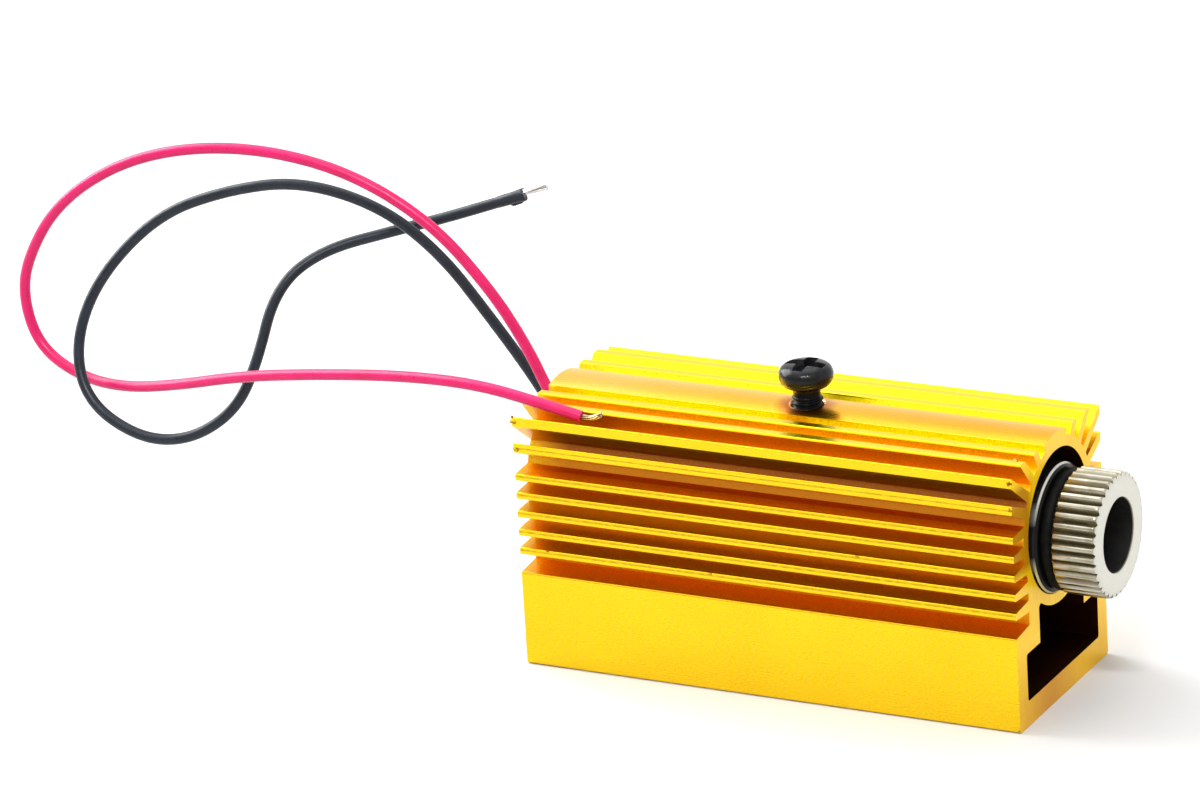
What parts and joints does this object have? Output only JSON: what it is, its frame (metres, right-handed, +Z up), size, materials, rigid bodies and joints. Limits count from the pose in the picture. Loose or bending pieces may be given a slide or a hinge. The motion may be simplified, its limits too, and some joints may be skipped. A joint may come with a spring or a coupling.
{
  "type": "laser diode module",
  "caption": "Cylindrical laser diode module clamped in a finned, extruded heat sink block with an open foot, a knurled focus ring in front and two loose lead wires behind.",
  "frame": {"origin": "middle of the underside of the heat sink's foot", "axes": "+X along the beam, out of the focus ring; +Z up from the foot to the clamp screw"},
  "size_m": [0.1155, 0.0229, 0.0434],
  "materials": {
    "gold_anodised": "clear gold anodised extrusion, satin with fine die lines, sawn ends",
    "black_steel": "black oxide, glossy",
    "nickel_brass": "nickel plated brass, bright sides and satin front",
    "black_rubber": "nitrile rubber, dull sheen",
    "lens_glass": "clear coated glass",
    "blackened_brass": "blackened",
    "spring_steel": "spring wire",
    "gold_plate": "gold plated steel",
    "seal_glass": "dark sealing glass",
    "chip_crystal": "grey crystal on a bright carrier",
    "bright_steel": "nickel plated steel can",
    "plain_brass": "turned brass",
    "green_board": "green glass fibre board with tinned pads",
    "black_epoxy": "moulded black resin",
    "tan_ceramic": "fired ceramic",
    "solder": "bright solder",
    "tinned_copper": "tinned strands",
    "red_pvc": "crimson insulation",
    "black_pvc": "black insulation"
  },
  "bodies": {
    "housing": {"heat_sink": "gold_anodised", "clamp_screw": "black_steel", "module_barrel": "nickel_brass", "diode_base": "gold_plate", "diode_seals": "seal_glass", "diode_leads": "gold_plate", "diode_chip": "chip_crystal", "diode_cap": "bright_steel", "diode_window": "lens_glass", "diode_clamp_ring": "plain_brass", "driver_board": "green_board", "driver_chip": "black_epoxy", "drive_transistor": "black_epoxy", "filter_capacitor": "tan_ceramic", "chip_resistors": "black_epoxy", "board_solder": "solder", "wire_board_ends": "tinned_copper", "red_wire": "red_pvc", "red_wire_tip": "tinned_copper", "black_wire": "black_pvc", "black_wire_tip": "tinned_copper"},
    "focus_carriage": {"focus_spring": "spring_steel"},
    "focus_head": {"focus_ring": "nickel_brass", "focus_o_ring": "black_rubber", "lens": "lens_glass", "lens_retainer": "blackened_brass"}
  },
  "joints": [
    {"name": "focus_travel", "type": "slide", "parent": "housing", "child": "focus_carriage", "axis": [1, 0, 0], "range_m": [0, 0.0025], "deforming": ["focus_spring"]},
    {"name": "focus_turn", "type": "hinge", "parent": "focus_carriage", "child": "focus_head", "pos_m": [0.0266, 0, 0.01622], "axis": [1, 0, 0], "range_deg": [0, 1800]}
  ],
  "couplings": [
    {"joint": "focus_travel", "follows": "focus_turn", "m_per_rad": 0.000079577}
  ]
}
